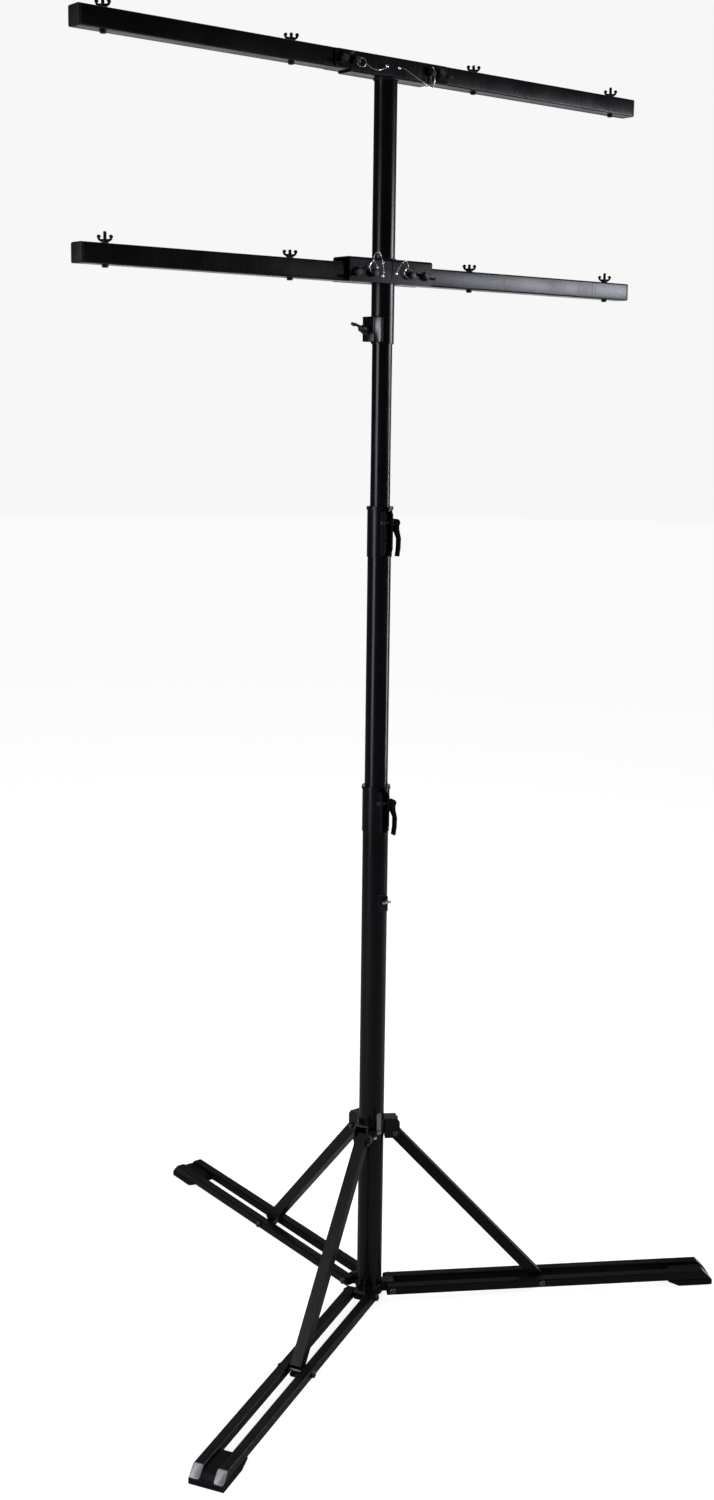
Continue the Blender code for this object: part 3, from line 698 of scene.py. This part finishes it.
for tag, az in LEG_AZ.items():
    L = leg_frame(az)
    leg, brace = "leg_" + tag, "brace_" + tag
    through_bolt("leg_bolt_" + tag, RAIL_GAP / 2 + RAIL_W, L, "base", "leg_pivot_bolt_" + tag)
    through_bolt("brace_low_bolt_" + tag, RAIL_GAP / 2 + RAIL_W, L @ T(BRACE_AT, 0, 0), leg, "brace_foot_bolt_" + tag)
    through_bolt("brace_top_bolt_" + tag, 0.0145, RZ(az) @ T(COLLAR_PIV_R, 0, COLLAR_PIV_Z), "collar",
                 "brace_collar_bolt_" + tag, head=0.0058)

    # rails: round-cornered square tube, rounded toe at the hub, slanted plate
    # welded over the outer end
    h = RAIL_H / 2
    x_toe = -0.0120

    def toe(y, z):
        if z > h - 0.0070:
            d = z - (h - 0.0070)
            return x_toe + 0.0070 - math.sqrt(max(0.0, 0.0070 ** 2 - d * d))
        if z < -h + 0.0040:
            d = (-h + 0.0040) - z
            return x_toe + 0.0040 - math.sqrt(max(0.0, 0.0040 ** 2 - d * d))
        return x_toe

    def slant(y, z):
        return LEG_LEN - 0.0004 - (z + h) if z > -h + 0.0004 else LEG_LEN - 0.0004

    for side, sy in (("a", -1), ("b", 1)):
        g = Geo()
        outer = rr(RAIL_W, RAIL_H, 0.0030, 5, (8, 1))
        inner = rr(RAIL_W - 2 * RAIL_WALL, RAIL_H - 2 * RAIL_WALL, 0.0017, 5, (8, 1))
        yo = sy * RAIL_Y
        g.add(loft([[(0.070, yo + u, v) for u, v in inner], [(toe(u, v), yo + u, v) for u, v in inner],
                    [(toe(u, v), yo + u, v) for u, v in outer],
                    [(slant(u, v) - 0.0016, yo + u, v) for u, v in outer]], cap1=True))
        # slanted end plate, a little smaller than the tube, with eased rim; its pale grey colour is a painted highlight
        small = rr(RAIL_W - 0.0006, RAIL_H - 0.0006, 0.0028, 5, (8, 1))
        tiny = rr(RAIL_W - 0.0022, RAIL_H - 0.0022, 0.0022, 5, (8, 1))
        g.add(loft([[(slant(u, v) - 0.0016, yo + u, v) for u, v in small],
                    [(slant(u, v) - 0.0004, yo + u, v) for u, v in small],
                    [(slant(u, v), yo + u, v) for u, v in tiny]]), None, 1)
        make("rail_%s_%s" % (tag, side), g, [M_LEG, M_TIP_PAINTED_HIGHLIGHT], leg, L, "leg_rail_%s_%s" % (tag, side),
             bevel=0.00035, angle=44)

    # shoe
    g = Geo()
    top, low = -h - 0.0005, -HINGE_Z
    half = (RAIL_GAP + 2 * RAIL_W) / 2
    g.add(slab([(LEG_LEN - SOLE_LEN, low + 0.0012), (LEG_LEN - 0.0012, low + 0.0012), (LEG_LEN, low + 0.0030), (LEG_LEN, top - 0.0008),
                (LEG_LEN - 0.0008, top), (LEG_LEN - FOOT_LEN, top), (LEG_LEN - FOOT_LEN, top - 0.0012)],
               2 * half))
    # tread: bars across the sole
    for i in range(11):
        x = LEG_LEN - SOLE_LEN + 0.0045 + i * 0.0058
        g.add(block(x - 0.0018, x + 0.0018, -half + 0.0018, half - 0.0018, low, low + 0.0020, 0.0004))
    # upstand between the rails, with its moulded ribs
    g.add(slab([(LEG_LEN - FOOT_LEN + 0.003, top - 0.002), (LEG_LEN - 0.0020, top - 0.002),
                (LEG_LEN - 0.0020, top + 0.0030), (LEG_LEN - 0.0100, top + 0.0105),
                (LEG_LEN - FOOT_LEN + 0.012, top + 0.0105), (LEG_LEN - FOOT_LEN + 0.003, top + 0.0030)],
               RAIL_GAP - 0.0010))
    for s in (-1, 1):
        g.add(block(LEG_LEN - FOOT_LEN + 0.014, LEG_LEN - 0.0120, s * 0.0116 - 0.0008, s * 0.0116 + 0.0008,
                    top + 0.0080, top + 0.0112, 0.0004))
    make("shoe_" + tag, g, M_SHOE, leg, L, "foot_" + tag, bevel=0.0011, segments=3)

    # brace (round-cornered square tube with an open half-lap at the leg bolt): the CAD brace with merged faces and
    # eased edges
    B = RZ(az) @ T(COLLAR_PIV_R, 0, COLLAR_PIV_Z) @ Matrix.Rotation(BRACE_TILT, 4, "Y")
    refine("brace_" + tag, M_LEG, 0.0016, 3)

# ---------------------------------------------------------------------------
# lever clamps
# ---------------------------------------------------------------------------
for tag, (tube_r, lip_top) in CLAMPS.items():
    body = "base" if tag == "lower" else "middle"
    refine(tag + "_clamp_body", M_FRAME, 0.0005)
    refine(tag + "_clamp_lever", M_FRAME, 0.0009, 3)
    E = T(0, 0, lip_top) @ RZ(CLAMP_AZ)
    px, pz, ty = tube_r + 0.0120, -CLAMP_DROP, 0.0172
    P = E @ T(px, 0, pz) @ RX(-90)
    g = Geo()
    g.add(rod(0.0030, -0.0120, ty - 0.0030, 32), P)
    g.add(disc_ring(0.0062, 0.0030, -0.0092, -0.0086), P)
    g.add(hexagonal(0.0096, -0.0132, -0.0092), P)
    g.add(threaded(0.0030, -0.0001, 0.0016, 0.001), P @ T(0, 0, -0.0132) @ RX(180))
    g.add(turned([(-0.0024, 0.0024), (-0.0024, 0.0050), (-0.0021, 0.0052), (0.0021, 0.0052), (0.0024, 0.0050),
                  (0.0024, 0.0024)], 40, loop=True), E @ T(px, ty, pz) @ RY(90))
    make(tag + "_pinch_bolt", g, M_ZINC, body, replaces=tag + "_clamp_bolt")

# ---------------------------------------------------------------------------
# head wing screw
# ---------------------------------------------------------------------------
g = Geo()
S = T(0, 0, HEAD_SCREW_Z) @ RZ(HEAD_AZ) @ RY(90)
g.add(threaded(0.0040, 0.0194, 0.0540, 0.00125, 24, tip=0), S)
wing_nut(g, S @ T(0, 0, 0.0530) @ RZ(58.0), 0.040, 0.0205, 0.0072, 0.0108, 0.0076, 0.0036)
make("head_screw_wing", g, M_BLACKZ, "head_screw", replaces="head_wing_screw", bevel=0.0007, segments=3)

# ---------------------------------------------------------------------------
# T-bar brackets, bent from plate
# ---------------------------------------------------------------------------
def channel(y, z_open, z_back, wall, rad_out, x0, x1, k=6):
    """Bent channel along X: sides at +-y, back at z_back, open at z_open."""
    s = 1 if z_back > z_open else -1
    ri = max(rad_out - wall, 0.0006)
    out, inn = [], []
    for sy, a0, a1 in ((1, 0, 90), (-1, 90, 180)):
        for i in range(k + 1):
            t = rad(a0 + (a1 - a0) * i / k)
            out.append((sy * (y - rad_out) + rad_out * math.cos(t) * (1 if sy > 0 else 1), z_back - s * rad_out + s * rad_out * math.sin(t)))
            inn.append((sy * (y - wall - ri) + ri * math.cos(t), z_back - s * (wall + ri) + s * ri * math.sin(t)))
    prof = [(y, z_open)] + out + [(-y, z_open), (-y + wall, z_open)] + inn[::-1] + [(y - wall, z_open)]
    return loft([[(x, p[0], p[1]) for p in prof] for x in (x0, x1)])


g = Geo()
# two halves that meet in an upright seam at the middle
g.add(channel(0.0250, ZL - 0.0170, ZL + 0.0275, 0.0030, 0.0045, -0.1000, -0.0004))
g.add(channel(0.0250, ZL - 0.0170, ZL + 0.0275, 0.0030, 0.0045, 0.0004, 0.1000))
g.add(bead(ring_path(0.0224, ZL + 0.0282, 240), 0.0014, 0.0028, True), None, 1)
for s in (-1, 1):
    g.add(bead(dense([(-0.0070, s * 0.0222, ZL - 0.0160), (-0.0070, s * 0.0222, ZL + 0.0200)]), 0.0008, 0.0024), None, 1)
make("lower_bracket", g, [M_FRAME, M_WELD], "head", replaces="lower_bar_bracket", bevel=0.0005)

g = Geo()
g.add(channel(0.0206, ZU + 0.0160, ZU - 0.0205, 0.0030, 0.0042, -0.0970, 0.0970))
for s in (-1, 1):
    # the two sides run on past the floor, with rounded lower corners
    for t in (-1, 1):
        side = [(s * 0.0970, ZU - 0.0163), (s * 0.1290, ZU - 0.0163), (s * 0.1325, ZU - 0.0150), (s * 0.1340, ZU - 0.0115),
                (s * 0.1340, ZU + 0.0110), (s * 0.1325, ZU + 0.0145), (s * 0.1290, ZU + 0.0160), (s * 0.0970, ZU + 0.0160)]
        g.add(slab(side, 0.0030, "xz", t * 0.0191))
g.add(bead(ring_path(0.0224, ZU - 0.0213, 240), 0.0013, 0.0028, True), None, 1)
make("upper_bracket", g, [M_FRAME, M_WELD], "head", replaces="upper_bar_bracket", bevel=0.0005)

# ---------------------------------------------------------------------------
# arms and what is on them
# ---------------------------------------------------------------------------
# rings of the four pins: centre from the pin's head, then reach in x, y and z
RINGS = {("lower", "left"): (-0.0035, 0.0, 0.0100, 0.0088, 0.0, 0.0095),
         ("lower", "right"): (-0.0085, 0.0, 0.0040, 0.0090, 0.0, 0.0085),
         ("upper", "left"): (0.0115, 0.0, -0.0030, 0.0105, 0.0, 0.0080),
         ("upper", "right"): (-0.0010, -0.0035, -0.0095, 0.0, 0.0055, 0.0172)}

for level, z in (("lower", ZL), ("upper", ZU)):
    plate = PLATE[level]
    for side, s in (("left", -1), ("right", 1)):
        A = T(0, 0, z) @ RZ(0 if s > 0 else 180)
        q = ARM_SQ / 2
        g = Geo()
        outer = rr(ARM_SQ, ARM_SQ, 0.0030, 6)
        inner = rr(ARM_SQ - 2 * ARM_WALL, ARM_SQ - 2 * ARM_WALL, 0.0014, 6)
        x1 = ARM_OUT - 0.0052
        g.add(loft([[(0.30, u, v) for u, v in inner], [(ARM_IN, u, v) for u, v in inner], [(ARM_IN, u, v) for u, v in outer],
                    [(x1, u, v) for u, v in outer]]))
        # moulded end cap: neck in the tube, flange with a rounded face
        e = 0.0012
        g.add(loft([[(x1 - 0.0002, u, v) for u, v in rr(ARM_SQ - 0.0016, ARM_SQ - 0.0016, 0.0026, 6)],
                    [(x1 + 0.0004, u, v) for u, v in rr(ARM_SQ - 0.0016, ARM_SQ - 0.0016, 0.0026, 6)],
                    [(x1 + 0.0005, u, v) for u, v in rr(ARM_SQ, ARM_SQ, 0.0032, 6)],
                    [(ARM_OUT - e, u, v) for u, v in rr(ARM_SQ, ARM_SQ, 0.0032, 6)],
                    [(ARM_OUT - e * 0.35, u, v) for u, v in rr(ARM_SQ - 2 * e * 0.35, ARM_SQ - 2 * e * 0.35, 0.0030, 6)],
                    [(ARM_OUT, u, v) for u, v in rr(ARM_SQ - 2 * e, ARM_SQ - 2 * e, 0.0026, 6)]]), None, 1)
        if level == "lower":
            for x in (BOLT_X[level], PIN_X[level]):
                g.add(disc_ring(0.0080, 0.0042, -0.0214, 0.0214), T(x, 0, 0) @ RX(90))
        make("%s_bar_%s" % (level, side), g, [M_FRAME, M_CAP], "head", A, "%s_arm_%s" % (level, side),
             bevel=0.0004, angle=50)

        # pivot bolt with a wing head in front and a nut behind
        W = T(s * BOLT_X[level], 0, z)
        turn = 35.0 if s < 0 else -20.0
        g = Geo()
        Y = W @ RX(-90)          # Z along +Y
        F = W @ RX(90)           # Z along -Y
        g.add(rod(0.0040, -plate - 0.0060, plate + 0.0005, 28), Y)
        g.add(disc_ring(0.0084, 0.0040, plate + GAP, plate + 0.0016), Y)
        g.add(hexagonal(0.0130, plate + 0.0016, plate + 0.0065), Y)
        g.add(threaded(0.0040, plate + 0.0004, plate + 0.0095, 0.00125, 24), Y)
        g.add(disc_ring(0.0082, 0.0040, plate + GAP, plate + 0.0014), F)
        wing_nut(g, F @ T(0, 0, plate + 0.0014) @ RZ(turn), 0.034, 0.0155, 0.0068, 0.0078, 0.0074, 0.0034)
        make("%s_bar_bolt_%s" % (level, side), g, M_BLACKZ, "%s_wing_%s" % (level, side),
             replaces="%s_arm_bolt_%s" % (level, side), bevel=0.0006, segments=3)

        # quick-release pin: grooved head, shank with a coned nose
        g = Geo()
        K = T(s * PIN_X[level], 0, z) @ RX(90)
        g.add(turned([(-plate - 0.0080, 0.0022), (-plate - 0.0062, 0.0040), (plate + GAP, 0.0040)], 32), K, 1)
        g.add(turned([(plate + GAP, 0.0066), (plate + 0.0006, 0.0070), (plate + 0.0032, 0.0070), (plate + 0.0036, 0.0058),
                      (plate + 0.0052, 0.0058), (plate + 0.0056, 0.0070), (plate + 0.0090, 0.0070), (plate + 0.0098, 0.0062),
                      (plate + 0.0100, 0.0050)], 40), K)
        # wire ring through the head
        dx, dy, dz, ax, ay, az_ = RINGS[level, side]
        g.add(sweep([(ax * math.cos(rad(a)), ay * math.cos(rad(a)), az_ * math.sin(rad(a))) for a in range(0, 360, 10)],
                    0.0015 if (level, side) == ("upper", "right") else 0.0009, 10, True),
              T(s * PIN_X[level] + dx, -plate - 0.0044 + dy, z + dz), 1)
        make("%s_pin_%s_steel" % (level, side), g, [M_BLACKZ, M_CHROME], "%s_pin_%s" % (level, side),
             replaces="%s_arm_pin_%s" % (level, side))

        for i, x in enumerate(FIXTURE_X):
            high = 0.0200 if i else 0.0150
            N = T(s * x, 0, z)
            g = Geo()
            g.add(hexagonal(0.0095, -q - 0.0046, -q - 0.0009), N)
            g.add(disc_ring(0.0066, 0.0030, -q - 0.0009, -q - GAP * 0.5), N)
            g.add(rod(0.00285, -q - 0.0030, q + 0.0012, 28), N)
            g.add(threaded(0.0030, q + 0.0010, q + high, 0.0010), N)
            g.add(disc_ring(0.0066, 0.0030, q + GAP * 0.5, q + 0.0012), N)
            wing_nut(g, N @ T(0, 0, q + 0.0012) @ RZ(-28.0 - 14.0 * i), 0.0270, 0.0135, 0.0050, 0.0062, 0.0056, 0.0026)
            make("%s_fixture_wing_%s_%s" % (level, side, ("inner", "outer")[i]), g, M_BLACKZ, "head",
                 replaces="%s_fixture_bolt_%s_%s" % (level, side, ("inner", "outer")[i]), bevel=0.0005, segments=2)

# ---------------------------------------------------------------------------
# lanyards of the four pins: bright wire, from the pin's eye to a rivet on the
# bracket
# ---------------------------------------------------------------------------
def lanyard(level, side, route):
    """route runs from the bracket's rivet to the pin's eye."""
    r = 0.0006
    path = spline(route, 10)
    g = Geo().add(sweep(path, r, 10))
    name = "%s_lanyard_%s" % (level, side)
    ob = make(name, g, M_CHROME, None)
    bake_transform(ob)
    length = sum((b - a).length for a, b in zip(path, path[1:]))
    # rivet on the bracket
    g = Geo()
    a, b = Vector(route[0]), Vector(route[1])
    g.add(turned([(0.0, 0.0030), (0.0006, 0.0032), (0.0016, 0.0027), (0.0022, 0.0014), (0.0023, 0.0004)], 28),
          T(a.x, -PLATE[level] - GAP, a.z) @ RX(90))
    make(name + "_rivet", g, M_CHROME, "head")
    return length


pl, pu = PLATE["lower"], PLATE["upper"]
lens = [
    lanyard("lower", "left", [(-0.0230, -pl - 0.0030, ZL - 0.0040), (-0.0255, -pl - 0.0072, ZL + 0.0060),
                              (-0.0297, -pl - 0.0092, ZL + 0.0170), (-0.0369, -pl - 0.0118, ZL + 0.0319),
                              (-0.0445, -pl - 0.0125, ZL + 0.0369), (-0.0505, -pl - 0.0100, ZL + 0.0301),
                              (-0.0485, -pl - 0.0044, ZL + 0.0195)]),
    lanyard("lower", "right", [(0.0100, -pl - 0.0030, ZL + 0.0020), (0.0112, -pl - 0.0085, ZL + 0.0125),
                               (0.0180, -pl - 0.0125, ZL + 0.0235), (0.0270, -pl - 0.0115, ZL + 0.0240),
                               (0.0325, -pl - 0.0080, ZL + 0.0180), (0.0365, -pl - 0.0044, ZL + 0.0125)]),
    lanyard("upper", "left", [(-0.0153, -pu - 0.0030, ZU - 0.0010), (-0.0215, -pu - 0.0080, ZU - 0.0052),
                              (-0.0301, -pu - 0.0105, ZU - 0.0092), (-0.0443, -pu - 0.0118, ZU - 0.0136),
                              (-0.0584, -pu - 0.0100, ZU - 0.0119), (-0.0680, -pu - 0.0044, ZU - 0.0030)]),
    lanyard("upper", "right", [(0.0134, -pu - 0.0030, ZU - 0.0010), (0.0205, -pu - 0.0080, ZU - 0.0030),
                               (0.0329, -pu - 0.0114, ZU - 0.0095), (0.0564, -pu - 0.0130, ZU - 0.0200),
                               (0.0750, -pu - 0.0115, ZU - 0.0275), (0.0890, -pu - 0.0079, ZU - 0.0267)]),
]

# ---------------------------------------------------------------------------
# studio: floor, light, camera
# ---------------------------------------------------------------------------
scene = bpy.context.scene
scene.view_settings.view_transform = "Standard"
scene.view_settings.look = "None"

world = bpy.data.worlds.new("studio")
scene.world = world
world.use_nodes = True
wt = world.node_tree
bg = wt.nodes["Background"]
bg.inputs["Color"].default_value = (1.0, 1.0, 1.0, 1.0)
path = wt.nodes.new("ShaderNodeLightPath")
pick = wt.nodes.new("ShaderNodeMapRange")
pick.inputs["To Min"].default_value = 0.05
pick.inputs["To Max"].default_value = 0.93
wt.links.new(path.outputs["Is Camera Ray"], pick.inputs["Value"])
wt.links.new(pick.outputs["Result"], bg.inputs["Strength"])

bm = bmesh.new()
bmesh.ops.create_circle(bm, cap_ends=True, radius=26.0, segments=96)
me = bpy.data.meshes.new("studio_floor")
bm.to_mesh(me)
bm.free()
floor = bpy.data.objects.new("studio_floor", me)
scene.collection.objects.link(floor)
s = Shader("floor_paper")
s.b.inputs["Specular IOR Level"].default_value = 0.0
paper = s.out(s.mix(s.ramp(s.noise(3.0, 3.0, 0.5), 0.3, 0.7), (0.60, 0.60, 0.60), (0.61, 0.61, 0.61)), 0.85, None, 0.0)
# the paper glows evenly where it is seen and stays dim in the stand's gloss
glow = s.t.nodes.new("ShaderNodeEmission")
glow.inputs["Color"].default_value = (1.0, 1.0, 1.0, 1.0)
seen = s.t.nodes.new("ShaderNodeLightPath")
s.link(s.ramp(seen.outputs["Is Camera Ray"], 0.0, 1.0, 0.02, 0.872), glow.inputs["Strength"])
both = s.t.nodes.new("ShaderNodeAddShader")
s.link(s.b.outputs[0], both.inputs[0])
s.link(glow.outputs[0], both.inputs[1])
s.link(both.outputs[0], s.t.nodes["Material Output"].inputs["Surface"])
me.materials.append(paper)
floor.location = (0, 0, -0.0006)


def softbox(name, at, target, w, h, watts, colour=(1, 1, 1)):
    li = bpy.data.lights.new(name, "AREA")
    li.shape, li.size, li.size_y = "RECTANGLE", w, h
    li.energy, li.color = watts, colour
    ob = bpy.data.objects.new(name, li)
    scene.collection.objects.link(ob)
    ob.location = at
    ob.rotation_mode = "QUATERNION"
    ob.rotation_quaternion = (Vector(target) - Vector(at)).to_track_quat("-Z", "Y")
    ob.visible_camera = False
    return ob


# directions in the camera's own frame: right, away from the camera, up
AWAY = Vector((math.sin(rad(39.2329)), math.cos(rad(39.2329)), 0.0))
RIGHT = Vector((math.cos(rad(39.2329)), -math.sin(rad(39.2329)), 0.0))


def place(r, a, u):
    return RIGHT * r + AWAY * a + Vector((0, 0, u))


softbox("strip_left", place(-2.34, -2.18, 1.45), (0, 0, 1.2), 1.10, 2.2, 50, (0.80, 0.86, 1.0))
softbox("strip_right", place(3.05, 0.88, 1.45), (0, 0, 1.5), 0.14, 2.1, 40, (1.0, 1.0, 1.0))
softbox("panel_right", place(3.0, 0.08, 2.22), (0, 0, 2.05), 0.95, 0.42, 30, (0.86, 0.88, 1.0))
softbox("low_left", MAST.translation + Vector((-0.67, 0.18, 0.72)) * 2.6 + Vector((-0.4, -0.3, 0.0)),
        MAST.translation + Vector((-0.4, -0.3, 0.0)), 0.9, 0.9, 9)
softbox("overhead", place(0.0, 1.6, 5.0), (0, 0, 0), 4.0, 3.0, 20)

softbox("low_back", place(0.0, 2.6, 1.72), (0, 0, 2.4), 2.4, 0.35, 3, (1.0, 1.0, 1.0))

sun = bpy.data.lights.new("sky_soft", "SUN")
sun.angle = rad(60.0)
sun.energy = 0.30
so = bpy.data.objects.new("sky_soft", sun)
scene.collection.objects.link(so)
so.rotation_mode = "QUATERNION"
so.rotation_quaternion = (-place(-0.35, -0.30, 1.0)).to_track_quat("-Z", "Y")
so.visible_camera = False

cam = bpy.data.cameras.new("camera")
cam.sensor_width = 36.0
cam.lens = 36.0 * 1749.084 / 1500.0
cam.shift_x = 0.0
cam.shift_y = -(750.0 - 673.054) / 1500.0
cam.clip_start, cam.clip_end = 0.05, 100.0
co = bpy.data.objects.new("camera", cam)
scene.collection.objects.link(co)
scene.camera = co
eye = MAST @ place(-0.0398, -3.3408, 1.7885)
pitch, roll = rad(8.6113), rad(0.7033)
fwd = AWAY * math.cos(pitch) - Vector((0, 0, 1)) * math.sin(pitch)
up = RIGHT.cross(fwd)
rr_ = RIGHT * math.cos(roll) + up * math.sin(roll)
uu_ = up * math.cos(roll) - RIGHT * math.sin(roll)
rot = Matrix((rr_, uu_, -fwd)).transposed()
co.location = eye
co.rotation_mode = "QUATERNION"
co.rotation_quaternion = rot.to_quaternion()
